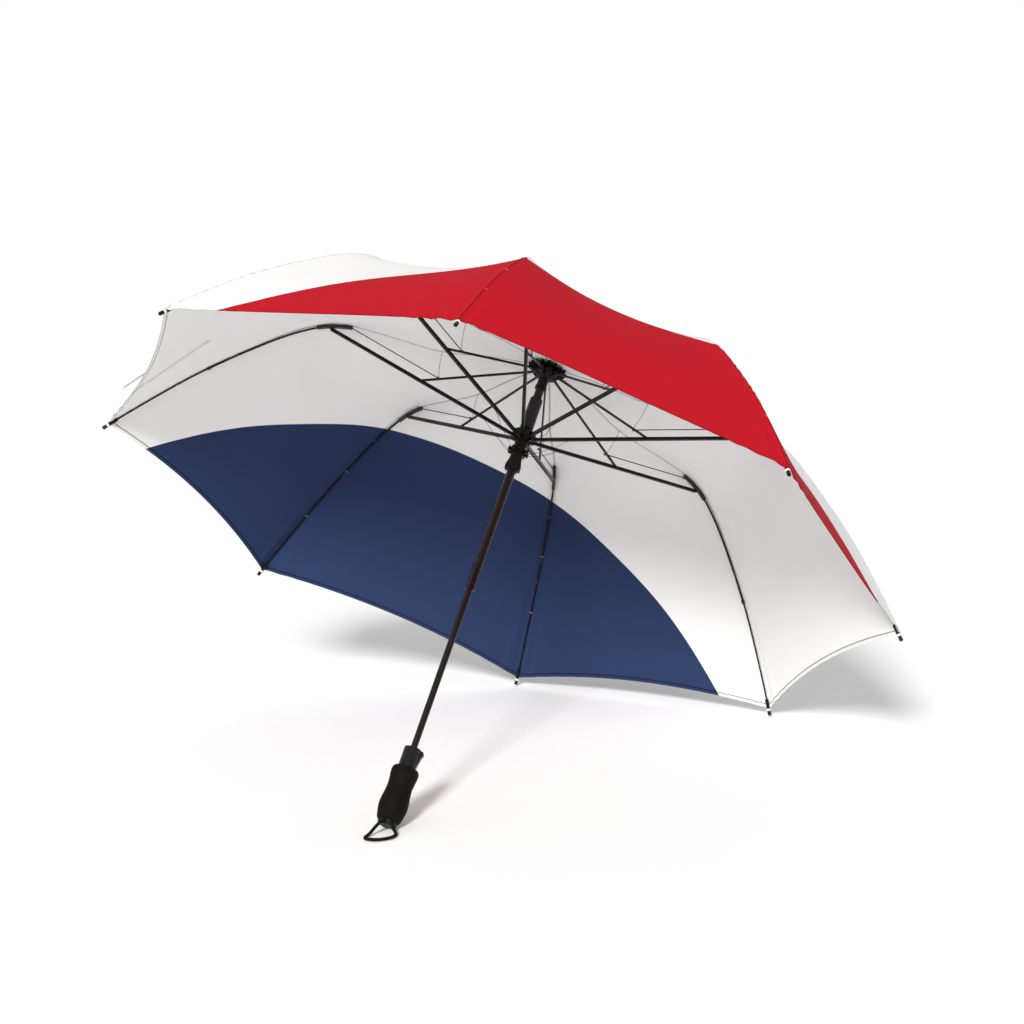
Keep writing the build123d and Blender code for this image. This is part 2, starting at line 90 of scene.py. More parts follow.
# Pairs of a distance from the shaft, and how far the middle of a gore hangs there inside the straight
# line between its two seams.
SAG_AT_RADIUS = np.array([
    (0.0, 0.0), (0.18, -0.003), (0.26, 0.004), (0.345, 0.019),
    (0.42, 0.017), (0.54, 0.010), (0.64, 0.006),
])
LEAST_SLOPE = -0.2
GREATEST_SLOPE = 3

# The hem curves in by this much between the rib tips. The cloth is drawn in beyond this share of the gore.
HEM_SCALLOP = 0.021
SCALLOP_START = 0.6

# The rib zones of a gore begin at these distances from the shaft. The crown sectors lie inside the first.
ZONE_RADII = (0.327, 0.43, 0.52)
CROWN_SECTORS = 4

FABRIC_THICKNESS = 0.0005
HEM_FOLD_WIDTH = 0.0058
HEM_FOLD_THICKNESS = 0.0013
SEAM_FOLD_HALF_WIDTH = 0.003
SEAM_FOLD_THICKNESS = 0.0018

# Unevenness of the taut cloth. Depths are in metres, reaches are shares of the gore, and waves are in
# radians over the whole gore.
FAN_DEPTH = 0.0016
FAN_REACH_ALONG = 0.22
FAN_REACH_ACROSS = 0.16
FAN_WAVES = 95
FAN_SHIFT = 5.27
PUCKER_DEPTH = 0.0005
PUCKER_WAVES = 210
PUCKER_SHIFT = 1.3
DRIFT_DEPTH = 0.0012
DRIFT_WAVES = 9
DRIFT_SHIFT = 2.1
SEAM_REACH = 0.02

# The grid of a gore: even rows, and columns that crowd towards the seams.
EVEN_ROWS = 78
ROW_GAP = 0.004
HEM_GAP = 0.003
HEM_ROWS = (HEM_FOLD_WIDTH * 1.15, HEM_FOLD_WIDTH, HEM_FOLD_WIDTH * 0.85, 0.0025, 0.0008)
SEAM_COLUMNS = (0, 0.003, 0.006, 0.009, 0.013, 0.02, 0.03, 0.045)
EVEN_COLUMNS = np.linspace(0.0625, 0.5, 15)


def cubic_spline(x, y):
    """A natural cubic spline through the points, as a function."""
    n = len(x)
    h = np.diff(x)
    a = np.zeros((n, n))
    b = np.zeros((n,) + y.shape[1:])
    a[0, 0] = a[-1, -1] = 1
    for i in range(1, n - 1):
        a[i, i - 1 : i + 2] = h[i - 1], 2 * (h[i - 1] + h[i]), h[i]
        b[i] = 6 * ((y[i + 1] - y[i]) / h[i] - (y[i] - y[i - 1]) / h[i - 1])
    m = np.linalg.solve(a, b)

    def value(q):
        q = np.asarray(q, float)
        i = np.clip(np.searchsorted(x, q) - 1, 0, n - 2)
        shape = (-1,) + (1,) * (y.ndim - 1)
        u = (x[i + 1] - q).reshape(shape)
        v = (q - x[i]).reshape(shape)
        g = h[i].reshape(shape)
        return (
            (m[i] * u**3 + m[i + 1] * v**3) / (6 * g)
            + (y[i] / g - m[i] * g / 6) * u
            + (y[i + 1] / g - m[i + 1] * g / 6) * v
        )

    return value


def running_length(points):
    """The distance along a line of points, at each of them."""
    return np.concatenate([[0], np.cumsum(np.linalg.norm(np.diff(points, axis=0), axis=1))])


seam_lengths = running_length(SEAM_PROFILE)
SEAM_LENGTH = seam_lengths[-1]
seam_curve = cubic_spline(seam_lengths, SEAM_PROFILE)
fine_lengths = np.linspace(0, SEAM_LENGTH, 400)
fine_radii = seam_curve(fine_lengths)[:, 0]


def length_at_radius(radius):
    """How far along the seam a distance from the shaft is reached."""
    return float(np.interp(radius, fine_radii, fine_lengths))


def smooth(x):
    """Rises smoothly from 0 at 0 to 1 at 1."""
    x = np.clip(x, 0, 1)
    return x * x * (3 - 2 * x)


def hollow_across(across):
    """0 at both seams and 1 in the middle of a gore."""
    return 4 * across * (1 - across)


def plan_direction(gore, across):
    """Where a point lies seen from above, for a seam of length 1: the straight line from rib to rib."""
    first, second = gore * STEP, (gore + 1) * STEP
    x = (1 - across) * math.cos(first) + across * math.cos(second)
    y = (1 - across) * math.sin(first) + across * math.sin(second)
    return x, y


def gore_surface(gore, across, along):
    """Points of a gore's middle surface.

    across runs 0..1 from one rib to the next, and along runs 0..1 from the crown to the hem.
    """
    hollow = hollow_across(across)
    late = smooth((along - SCALLOP_START) / (1 - SCALLOP_START))
    s = (along - HEM_SCALLOP / SEAM_LENGTH * hollow * late) * SEAM_LENGTH
    profile = seam_curve(s.ravel()).reshape(s.shape + (2,))
    radius, height = profile[..., 0], profile[..., 1] + TIP_HEIGHT
    plan_x, plan_y = plan_direction(gore, across)
    sag = np.interp(radius, *SAG_AT_RADIUS.T) * hollow
    slope = np.gradient(height, axis=0) / np.maximum(np.gradient(radius, axis=0), 1e-9)
    lean = np.arctan(np.clip(-slope, LEAST_SLOPE, GREATEST_SLOPE))
    middle = (gore + 0.5) * STEP
    x = radius * plan_x - sag * np.sin(lean) * math.cos(middle)
    y = radius * plan_y - sag * np.sin(lean) * math.sin(middle)
    return np.stack([x, y, height - sag * np.cos(lean)], axis=-1)


def tension_folds(gore, across, along):
    """Small folds that fan in from the hem's corners, puckers along the seams, and a slow drift."""
    edge = np.minimum(across, 1 - across)
    shift = np.where(across < 0.5, 0.0, FAN_SHIFT)
    fan = np.exp(-((1 - along) / FAN_REACH_ALONG) ** 2) * np.exp(-(edge / FAN_REACH_ACROSS) ** 2)
    wave = np.sin(edge * FAN_WAVES + shift + gore)
    folds = FAN_DEPTH * fan * wave * np.clip(edge / SEAM_REACH, 0, 1)
    pucker_wave = np.sin(along * PUCKER_WAVES + gore * PUCKER_SHIFT)
    pucker = PUCKER_DEPTH * np.exp(-edge / SEAM_REACH) * pucker_wave
    drift_wave = np.sin(along * DRIFT_WAVES + gore * DRIFT_SHIFT) * np.sin(across * math.tau + gore)
    drift = DRIFT_DEPTH * drift_wave * hollow_across(across)
    return folds + pucker + drift


def gore_rows():
    """Steps along a gore: the zone edges and the hem fold's edges fall on rows."""
    zone_edges = [length_at_radius(r) / SEAM_LENGTH for r in ZONE_RADII]
    hem = 1 - np.array(HEM_ROWS) / SEAM_LENGTH

    def clear(row):
        from_zones = all(abs(row - edge) > ROW_GAP for edge in zone_edges)
        return from_zones and (row < hem[0] - HEM_GAP or row == 1)

    even = [row for row in np.linspace(0, 1, EVEN_ROWS) if clear(row)]
    return np.array(sorted(even + zone_edges + list(hem)))


def gore_columns():
    """Steps across a gore, closer together beside the seams."""
    half = list(SEAM_COLUMNS) + list(EVEN_COLUMNS)
    return np.array(half + [1 - t for t in reversed(half[:-1])])


ROWS = gore_rows()
COLUMNS = gore_columns()


def link_object(name, mesh):
    """A new object in the scene."""
    thing = bpy.data.objects.new(name, mesh)
    bpy.context.scene.collection.objects.link(thing)
    return thing


def grid_faces(index):
    """The squares between neighbouring points of a grid of point numbers."""
    corners = [index[:-1, :-1], index[1:, :-1], index[1:, 1:], index[:-1, 1:]]
    return np.stack(corners, axis=-1).reshape(-1, 4)


def grid_mesh(name, outer, inner, normals, attributes):
    """A thin closed sheet from two matching grids of points, with its own normals and attributes."""
    rows, columns = outer.shape[:2]
    count = rows * columns
    points = np.concatenate([outer.reshape(-1, 3), inner.reshape(-1, 3)])
    index = np.arange(count).reshape(rows, columns)
    top = grid_faces(index)
    bottom = top[:, ::-1] + count
    ring = np.concatenate([index[0, :], index[1:, -1], index[-1, -2::-1], index[-2:0:-1, 0]])
    following = np.roll(ring, -1)
    rim = np.stack([ring, following, following + count, ring + count], axis=-1)
    faces = np.concatenate([top, bottom, rim])
    mesh = bpy.data.meshes.new(name)
    mesh.from_pydata(points.tolist(), [], faces.tolist())
    for key, values in attributes.items():
        layer = mesh.attributes.new(key, "FLOAT_VECTOR", "POINT")
        layer.data.foreach_set("vector", values.astype(np.float32).ravel())
    mesh.polygons.foreach_set("use_smooth", np.ones(len(mesh.polygons), bool))
    mesh.update()
    flat = normals.reshape(-1, 3)
    mesh.normals_split_custom_set_from_vertices(np.concatenate([flat, -flat]).tolist())
    return link_object(name, mesh)


def upward_normals(points):
    """Unit normals of a grid of points, on the side that faces up."""
    normals = np.cross(np.gradient(points, axis=0), np.gradient(points, axis=1))
    normals /= np.linalg.norm(normals, axis=-1, keepdims=True)
    return normals * np.sign(normals[..., 2].mean())


def fold_share(distance, width, start, reach):
    """1 within a sewn fold and 0 beyond it. start and reach are shares of the fold's width."""
    return 1 - smooth((distance - width * start) / (width * reach))


def cloth_thickness(seam_distance, hem_distance):
    """The cloth is thicker where it is folded over at the seams and the hem."""
    seam = fold_share(seam_distance, SEAM_FOLD_HALF_WIDTH, 0.7, 0.6)
    hem = fold_share(hem_distance, HEM_FOLD_WIDTH, 0.9, 0.2)
    seam_extra = (SEAM_FOLD_THICKNESS - FABRIC_THICKNESS) * seam
    hem_extra = (HEM_FOLD_THICKNESS - FABRIC_THICKNESS) * hem
    return FABRIC_THICKNESS + np.maximum(seam_extra, hem_extra)


def gore_grids(gore):
    """Grids of a gore: outer face, inner face, normals, middle surface, cloth and print coordinates."""
    along, across = np.meshgrid(ROWS, COLUMNS, indexing="ij")
    points = gore_surface(gore, across, along)
    points = points + upward_normals(points) * tension_folds(gore, across, along)[..., None]
    normals = upward_normals(points)
    width = np.linalg.norm(points[:, -1] - points[:, 0], axis=-1)[:, None]
    seam_distance = np.minimum(across, 1 - across) * width
    hem_distance = (1 - along) * SEAM_LENGTH
    half = cloth_thickness(seam_distance, hem_distance)[..., None] / 2 * normals
    cloth = np.stack([seam_distance, hem_distance, along * SEAM_LENGTH], axis=-1)
    plan_x, plan_y = plan_direction(gore, across)
    flat_radius = along * SEAM_LENGTH / np.hypot(plan_x, plan_y)
    printed = np.stack([flat_radius * plan_x, flat_radius * plan_y, 0 * along], axis=-1)
    return points + half, points - half, normals, points, cloth, printed


def canopy_piece(name, grids, rows, columns):
    """One piece of a gore, cut from its grids."""
    outer, inner, normals, middle, cloth, printed = (g[rows, columns] for g in grids)

    def on_both_faces(grid):
        flat = grid.reshape(-1, 3)
        return np.concatenate([flat, flat])

    face_side = on_both_faces(np.zeros_like(middle))
    face_side[: len(face_side) // 2, 0] = 1
    layers = {
        "rest": on_both_faces(middle), "cloth": on_both_faces(cloth), "print": on_both_faces(printed),
        "face_side": face_side,
    }
    return grid_mesh(name, outer, inner, normals, layers)


def rib_direction(rib):
    """The horizontal direction of a rib, away from the shaft."""
    return Vector((math.cos(rib * STEP), math.sin(rib * STEP), 0))


def beside_rib(rib):
    """The horizontal direction square to a rib."""
    out = rib_direction(rib)
    return Vector((-out.y, out.x, 0))


def seam_point(rib, radius):
    """The point of a seam at a distance from the shaft."""
    r, z = seam_curve([length_at_radius(radius)])[0]
    return rib_direction(rib) * r + UP * (z + TIP_HEIGHT)


# The body that each zone of a gore rides on.
ZONE_BODY = ("rib_inner", "rib_inner", "rib_outer")
OUTER_ZONE = 2
ZONE_ENDS = ZONE_RADII[1:] + (TIP_RADIUS,)


def fold_onto_rib(piece, rib, zone):
    """Gives a piece its own mesh.

    The piece lies after its rib for side 0, and before it for side 1.
    """
    start = seam_point(rib, ZONE_RADII[zone])
    end = seam_point(rib, ZONE_ENDS[zone])
    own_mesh(piece)


def nearest(values, wanted):
    """The place of the value nearest to the wanted one."""
    return int(np.argmin(abs(values - wanted)))


ZONE_ROWS = [nearest(ROWS, length_at_radius(r) / SEAM_LENGTH) for r in ZONE_RADII] + [len(ROWS) - 1]
SECTOR_COLUMNS = [nearest(COLUMNS, share) for share in np.linspace(0, 1, CROWN_SECTORS + 1)]
MIDDLE_COLUMN = len(COLUMNS) // 2
SIDE_COLUMNS = (slice(0, MIDDLE_COLUMN + 1), slice(MIDDLE_COLUMN, len(COLUMNS)))


def finish_canopy_piece(piece, material):
    """Gives a piece the canopy's cloth and lets it stand for the canopy's solid."""
    piece.data.materials.append(material)
    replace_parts(piece, "canopy")


def make_crown_sectors(gore, grids, material):
    """The parts of a gore around the crown. They ride on the upper shaft."""
    rows = slice(0, ZONE_ROWS[0] + 1)
    for sector in range(CROWN_SECTORS):
        columns = slice(SECTOR_COLUMNS[sector], SECTOR_COLUMNS[sector + 1] + 1)
        piece = canopy_piece(f"canopy_crown_{gore + 1}_{sector + 1}", grids, rows, columns)
        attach(piece, "upper_shaft")
        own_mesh(piece)
        finish_canopy_piece(piece, material)


def make_rib_zones(gore, grids, material):
    """The parts of a gore beside its two ribs. They ride on the ribs."""
    for side, columns in enumerate(SIDE_COLUMNS):
        rib = (gore + side) % RIBS
        for zone, body in enumerate(ZONE_BODY):
            rows = slice(ZONE_ROWS[zone], ZONE_ROWS[zone + 1] + 1)
            piece = canopy_piece(f"canopy_rib_{rib + 1}{'ab'[side]}_{zone + 1}", grids, rows, columns)
            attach(piece, f"{body}_{rib + 1}")
            fold_onto_rib(piece, rib, zone)
            finish_canopy_piece(piece, material)


def make_canopy(material):
    """One curved cloth of eight gores, cut where the frame folds."""
    for gore in range(RIBS):
        grids = gore_grids(gore)
        make_crown_sectors(gore, grids, material)
        make_rib_zones(gore, grids, material)


# ---- materials ----

# A wave texture of scale 1 repeats about every 0.31 m.
WAVE_PERIOD = 0.31

NAVY = (0.0290, 0.0490, 0.1230, 1)
RED = (0.585, 0.0085, 0.0205, 1)
WHITE = (0.93, 0.925, 0.92, 1)
GLOSS_BLACK = (0.0045, 0.0042, 0.0045, 1)
MATTE_BLACK = (0.0070, 0.0064, 0.0062, 1)
FRAME_BLACK = (0.0085, 0.0078, 0.0075, 1)
FRAME_WORN = (0.09, 0.085, 0.08, 1)
ROD_BLACK = (0.0075, 0.0070, 0.0070, 1)
ROD_WORN = (0.07, 0.066, 0.062, 1)
WIRE_GREY = (0.34, 0.335, 0.33, 1)
WIRE_WORN = (0.6, 0.6, 0.6, 1)
SPRING_GREY = (0.25, 0.245, 0.24, 1)
SPRING_WORN = (0.5, 0.5, 0.5, 1)
CORD_BLACK = (0.0085, 0.0078, 0.0078, 1)
THREAD_GREY = (0.62, 0.61, 0.60, 1)
ROSETTE_BLACK = (0.0080, 0.0075, 0.0075, 1)
GROUND_WHITE = (0.93, 0.93, 0.93, 1)
PURE_WHITE = (1, 1, 1, 1)
SHAFT_DARK = (0.018, 0.0155, 0.014, 1)
# Painted sheen: the shaft's warm brown where its surface faces away from the view.
SHAFT_PAINTED_SHEEN = (0.060, 0.048, 0.042, 1)
GRIP_DARK = (0.0038, 0.0030, 0.0028, 1)
GRIP_LIGHT = (0.0075, 0.0060, 0.0056, 1)
RIBBON_LIGHT = (0.78, 0.775, 0.76, 1)
RIBBON_SHADED = (0.62, 0.615, 0.60, 1)


class Nodes:
    """A short way to write a material's node tree."""

    def __init__(self, name):
        self.material = bpy.data.materials.new(name)
        self.material.use_nodes = True
        self.tree = self.material.node_tree
        self.surface = self.tree.nodes["Principled BSDF"]
        self.output = self.tree.nodes["Material Output"]

    def add(self, kind, settings=None, **inputs):
        node = self.tree.nodes.new(kind)
        for key, value in (settings or {}).items():
            setattr(node, key, value)
        for key, value in inputs.items():
            self.put(node.inputs[key.replace("_", " ")], value)
        return node

    def put(self, socket, value):
        if isinstance(value, bpy.types.NodeSocket):
            self.tree.links.new(value, socket)
        else:
            socket.default_value = value

    def math(self, operation, a, b=0.0):
        node = self.add("ShaderNodeMath", {"operation": operation})
        self.put(node.inputs[0], a)
        self.put(node.inputs[1], b)
        return node.outputs[0]

    def times(self, a, b):
        return self.math("MULTIPLY", a, b)

    def plus(self, a, b):
        return self.math("ADD", a, b)

    def less(self, a, b):
        return self.math("SUBTRACT", a, b)

    def mix(self, factor, a, b, blend="MIX"):
        node = self.add("ShaderNodeMix", {"data_type": "RGBA", "blend_type": blend})
        self.put(node.inputs[0], factor)
        self.put(node.inputs[6], a)
        self.put(node.inputs[7], b)
        return node.outputs[2]

    def attribute(self, name):
        node = self.tree.nodes.new("ShaderNodeAttribute")
        node.attribute_name = name
        return node.outputs["Vector"]

    def split(self, vector):
        node = self.tree.nodes.new("ShaderNodeSeparateXYZ")
        self.put(node.inputs[0], vector)
        return node.outputs

    def noise(self, vector, scale, detail=3.0, roughness=0.5):
        node = self.add("ShaderNodeTexNoise", Vector=vector, Scale=scale, Detail=detail)
        self.put(node.inputs["Roughness"], roughness)
        return node.outputs["Fac"]

    def ridges(self, vector, direction, pitch):
        scale = WAVE_PERIOD / pitch
        node = self.add("ShaderNodeTexWave", {"bands_direction": direction}, Vector=vector, Scale=scale)
        return node.outputs["Fac"]

    def streaks(self, vector, stretch):
        at = self.add("ShaderNodeMapping", Vector=vector, Scale=stretch).outputs[0]
        return self.noise(at, 1.0, 4.0, 0.6)

    def bump(self, height, distance, strength=1.0, normal=None):
        node = self.add("ShaderNodeBump", Height=height, Distance=distance, Strength=strength)
        if normal is not None:
            self.put(node.inputs["Normal"], normal)
        return node.outputs["Normal"]

    def set(self, **inputs):
        for key, value in inputs.items():
            self.put(self.surface.inputs[key.replace("_", " ")], value)

    def object_place(self):
        return self.add("ShaderNodeTexCoord").outputs["Object"]

    def blend_shaders(self, share, first, second):
        node = self.add("ShaderNodeMixShader", Fac=share)
        self.put(node.inputs[1], first.outputs[0])
        self.put(node.inputs[2], second.outputs[0])
        return node

    def show(self, shader):
        self.put(self.output.inputs["Surface"], shader.outputs[0])


def band(n, value, centre, half_width):
    """1 where value is within half_width of centre."""
    return n.math("LESS_THAN", n.math("ABSOLUTE", n.less(value, centre)), half_width)


# The print is straight on the flat cloth. Its edges stand square to this azimuth, at these distances
# from the crown.
PRINT_ANGLE = math.radians(22.5)
NAVY_EDGE = 0.374
RED_EDGE = -0.368
WEAVE_PITCH = 0.0011

# Sewing, measured from the hem or the seam.
STITCH_LINE = 0.0048
STITCH_HALF_WIDTH = 0.0007
STITCH_PITCH = 0.0032
STITCH_GAP = 0.25
STITCH_SLANT = 0.73
STITCH_DARKNESS = 0.35
# The hem fold's inner edge gets a line of painted shade, on the inside face only.
HEM_STEP_LINE = HEM_FOLD_WIDTH * 1.04
HEM_STEP_HALF_WIDTH = 0.0006
HEM_EDGE_SHADE_DARKNESS = 0.85
SEAM_LINE_WIDTH = 0.0006
SEAM_LINE_INSIDE_EXTRA = 0.0009
SEAM_LINE_DARKNESS = 0.45
LIGHT_THROUGH = 0.22

# The closing strap lies on the gore after this rib, from its sewn root to its free tip.
STRAP_RIB = 2
STRAP_ROOT = Vector((-0.183, 0.473, 0.6025))
STRAP_TIP = Vector((-0.120, 0.586, 0.507))
STRAP_RIDGE_WIDTH = 0.0055
STRAP_RIDGE_REACH = 0.05


def strap_frame():
    """The strap's length, and its directions: along it, across it, and out from the canopy."""
    run = STRAP_TIP - STRAP_ROOT
    gore_normal = rib_direction(STRAP_RIB + 0.5) + UP
    outwards = (gore_normal - run * (gore_normal.dot(run) / run.dot(run))).normalized()
    along = run.normalized()
    return run.length, along, outwards.cross(along), outwards


def strap_ridge(n, place):
    """A raised line where the closing strap presses into the cloth."""
    length, along, across, outwards = strap_frame()

    def measure(direction):
        node = n.add("ShaderNodeVectorMath", {"operation": "DOT_PRODUCT"})
        n.put(node.inputs[0], place)
        n.put(node.inputs[1], tuple(direction))
        return n.less(node.outputs["Value"], STRAP_ROOT.dot(direction))

    sideways = n.math("DIVIDE", measure(across), STRAP_RIDGE_WIDTH)
    ridge = n.math("EXPONENT", n.times(n.times(sideways, sideways), -1.0))
    near = band(n, measure(outwards), 0.0, STRAP_RIDGE_REACH)
    on_strap = band(n, measure(along), length / 2, length / 2)
    return n.times(ridge, n.times(near, on_strap))


def printed_colour(n, x, y):
    """The three colour bands, from the flat cloth's coordinates."""
    along_print = n.plus(n.times(x, math.cos(PRINT_ANGLE)), n.times(y, math.sin(PRINT_ANGLE)))
    navy = n.math("GREATER_THAN", along_print, NAVY_EDGE)
    red = n.math("LESS_THAN", along_print, RED_EDGE)
    return n.mix(red, n.mix(navy, WHITE, NAVY), RED)


def sewing_marks_and_hem_shade(n, x, y):
    """How much the stitches and the seams darken the cloth, with painted shade along the hem fold's inner
    edge.
    """
    seam_distance, hem_distance, _ = n.split(n.attribute("cloth"))
    inside = n.less(1.0, n.split(n.attribute("face_side"))[0])
    slanted = n.math("DIVIDE", n.plus(x, n.times(y, STITCH_SLANT)), STITCH_PITCH)
    dashes = n.math("GREATER_THAN", n.math("FRACT", slanted), STITCH_GAP)
    hem_stitch = n.times(band(n, hem_distance, STITCH_LINE, STITCH_HALF_WIDTH), dashes)
    # Painted shade: a dark line along the hem fold's edge, on the inside face.
    hem_edge_shade = n.times(band(n, hem_distance, HEM_STEP_LINE, HEM_STEP_HALF_WIDTH), inside)
    seam_width = n.plus(SEAM_LINE_WIDTH, n.times(inside, SEAM_LINE_INSIDE_EXTRA))
    seam_line = n.math("LESS_THAN", seam_distance, seam_width)
    hem = n.math("MAXIMUM", n.times(hem_stitch, STITCH_DARKNESS), n.times(hem_edge_shade, HEM_EDGE_SHADE_DARKNESS))
    return n.math("MAXIMUM", hem, n.times(seam_line, SEAM_LINE_DARKNESS))


def canopy_material():
    """Woven pongee in three colour bands, with stitched hem and seams, which lets some light through."""
    n = Nodes("canopy_fabric")
    rest = n.attribute("rest")
    x, y, _ = n.split(n.attribute("print"))
    weave = n.times(n.ridges(rest, "X", WEAVE_PITCH), n.ridges(rest, "Y", WEAVE_PITCH))
    cloudy = n.plus(0.965, n.times(n.noise(rest, 7.0, 4.0), 0.055))
    shade = n.times(cloudy, n.plus(0.985, n.times(weave, 0.03)))
    shade = n.times(shade, n.less(1.0, sewing_marks_and_hem_shade(n, x, y)))
    grey = n.add("ShaderNodeCombineColor", Red=shade, Green=shade, Blue=shade).outputs[0]
    tint = n.mix(1.0, printed_colour(n, x, y), grey, "MULTIPLY")
    ripple = n.bump(n.noise(rest, 9.0, 3.0, 0.45), 0.0050, 0.5)
    ripple = n.bump(strap_ridge(n, rest), 0.0070, 1.0, ripple)
    fine = n.bump(weave, 0.0003, 0.35, ripple)
    n.set(Base_Color=tint, Roughness=0.72, Specular_IOR_Level=0.05, Sheen_Weight=0.01, Normal=fine)
    glow = n.add("ShaderNodeBsdfTranslucent", Color=tint, Normal=fine)
    n.show(n.blend_shaders(LIGHT_THROUGH, n.surface, glow))
    return n.material


def metal_material(name, colour, edge_colour, roughness):
    """Lacquered or brushed metal, with paler worn edges and fine streaks."""
    n = Nodes(name)
    at = n.object_place()
    grain = n.streaks(at, (240, 240, 12))
    worn = n.add("ShaderNodeNewGeometry").outputs["Pointiness"]
    edge = n.add("ShaderNodeMapRange", Value=worn, From_Min=0.52, From_Max=0.6).outputs[0]
    speckle = n.math("GREATER_THAN", n.noise(at, 900.0, 2.0), 0.42)
    tint = n.mix(n.times(n.times(edge, speckle), 0.55), colour, edge_colour)
    rough = n.plus(roughness - 0.06, n.times(grain, 0.12))
    n.set(Base_Color=tint, Metallic=0.75, Roughness=rough, Normal=n.bump(grain, 0.0002, 0.15))
    return n.material


def shaft_material():
    """Dark lacquered tube with a warm brown sheen painted along its sides, where they turn away from the
    view.
    """
    n = Nodes("shaft_metal")
    grain = n.streaks(n.object_place(), (300, 300, 5))
    facing = n.add("ShaderNodeLayerWeight", Blend=0.4).outputs["Facing"]
    # Painted sheen: warm brown mixed in where the tube faces away from the view.
    tint = n.mix(facing, SHAFT_DARK, SHAFT_PAINTED_SHEEN)
    n.set(Base_Color=tint, Metallic=0.85, Roughness=n.plus(0.24, n.times(grain, 0.12)))
    n.set(Normal=n.bump(grain, 0.0002, 0.12), Coat_Weight=0.08, Coat_Roughness=0.12)
    return n.material


def shaded(colour, factor):
    """A colour made lighter or darker."""
    return tuple(min(1, c * factor) for c in colour[:3]) + (1,)


def plastic_material(name, colour, roughness, texture_scale, texture_depth, shine):
    """Moulded plastic with a fine spark-eroded texture and slight flow marks."""
    n = Nodes(name)
    at = n.object_place()
    pits = n.noise(at, texture_scale, 3.0, 0.6)
    flow = n.noise(at, 45.0, 2.0)
    tint = n.mix(n.times(flow, 0.5), colour, shaded(colour, 1.7))
    n.set(Base_Color=tint, Roughness=n.plus(roughness - 0.05, n.times(pits, 0.12)))
    n.set(Normal=n.bump(pits, texture_depth, 0.5), Specular_IOR_Level=shine)
    return n.material


def grip_material():
    """Soft-touch rubber foam with a fine leathery pebble."""
    n = Nodes("grip_foam")
    at = n.object_place()
    cells = n.add("ShaderNodeTexVoronoi", {"feature": "F1"}, Vector=at, Scale=650.0).outputs["Distance"]
    tint = n.mix(n.noise(at, 60.0, 3.0), GRIP_DARK, GRIP_LIGHT)
    n.set(Base_Color=tint, Roughness=0.66, Specular_IOR_Level=0.06, Sheen_Weight=0.01)
    n.set(Normal=n.bump(cells, 0.0004, 0.5))
    return n.material


def thread_material(name, colour, pitch):
    """Twisted or braided thread, with painted shade in the grooves between its strands."""
    n = Nodes(name)
    at = n.object_place()
    twist = n.ridges(at, "DIAGONAL", pitch)
    fuzz = n.noise(at, 1800.0, 2.0)
    # Painted shade: the colour darkens where the twist's bump dips between the strands.
    tint = n.mix(n.times(twist, 0.8), shaded(colour, 0.55), colour)
    n.set(Base_Color=tint, Roughness=0.8, Specular_IOR_Level=0.12)
    n.set(Normal=n.bump(n.plus(twist, n.times(fuzz, 0.4)), 0.0004, 0.6))
    return n.material


def strap_material():
    """White ribbon with a woven rib."""
    n = Nodes("strap_fabric")
    at = n.object_place()
    rib = n.ridges(at, "Z", 0.0009)
    soft = n.noise(at, 30.0, 3.0)
    tint = n.mix(n.times(n.plus(rib, soft), 0.4), RIBBON_LIGHT, RIBBON_SHADED)
    n.set(Base_Color=tint, Roughness=0.75, Sheen_Weight=0.15, Normal=n.bump(rib, 0.0003, 0.4))
    return n.material


# ---- soft and small pieces ----

def place_mesh(name, mesh, material, body):
    """Puts a mesh in the scene with its material, riding on a body."""
    mesh.materials.clear()
    mesh.materials.append(material)
    thing = link_object(name, mesh)
    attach(thing, body)
    return thing


def tube(name, points, radius, material, body, closed=False):
    """A round rod or cord along the points, as a mesh."""
    curve = bpy.data.curves.new(name, "CURVE")
    curve.dimensions = "3D"
    curve.bevel_depth = radius
    curve.bevel_resolution = 2
    curve.use_fill_caps = True
    line = curve.splines.new("POLY")
    line.points.add(len(points) - 1)
    for point, at in zip(line.points, points):
        point.co = (*at, 1)
    line.use_cyclic_u = closed
    line.use_smooth = True
    shape = link_object(name + "_shape", curve)
    bpy.context.view_layer.update()
    mesh = bpy.data.meshes.new_from_object(shape.evaluated_get(bpy.context.evaluated_depsgraph_get()))
    mesh.name = name
    bpy.data.objects.remove(shape)
    return place_mesh(name, mesh, material, body)


def circle(centre, first, second, radius, count):
    """Points around a circle, in the plane of two directions."""
    angles = np.linspace(0, math.tau, count, endpoint=False)
    return [centre + (first * math.cos(a) + second * math.sin(a)) * radius for a in angles]


def smooth_path(points, count):
    """Points evenly spread along a smooth curve through the given ones."""
    points = np.array([tuple(p) for p in points])
    lengths = running_length(points)
    curve = cubic_spline(lengths, points)
    return curve(np.linspace(0, lengths[-1], count))


CORD_STRANDS = 3
CORD_STRAND_RADIUS = 0.00135
CORD_TWIST_LENGTH = 0.0095
CORD_STEPS = 260

# The cord leaves the end cap through two mouths, on both sides of its heading.
CORD_HEADING = math.radians(196.3)
MOUTH_SPREAD = math.radians(24)
MOUTH_HEIGHT = 0.0039
MOUTH_RADII = (0.009, 0.016)

# Where the loop lies, in millimetres: across its heading, away from the handle and above the ground.
CORD_LOOP = (
    (15, 12, 13), (27, 17, 4), (34, 27, 2.9), (27, 37, 2.9),
    (10, 41, 2.9), (-5, 36, 2.9), (-12, 24, 4), (-10, 14, 12),
)


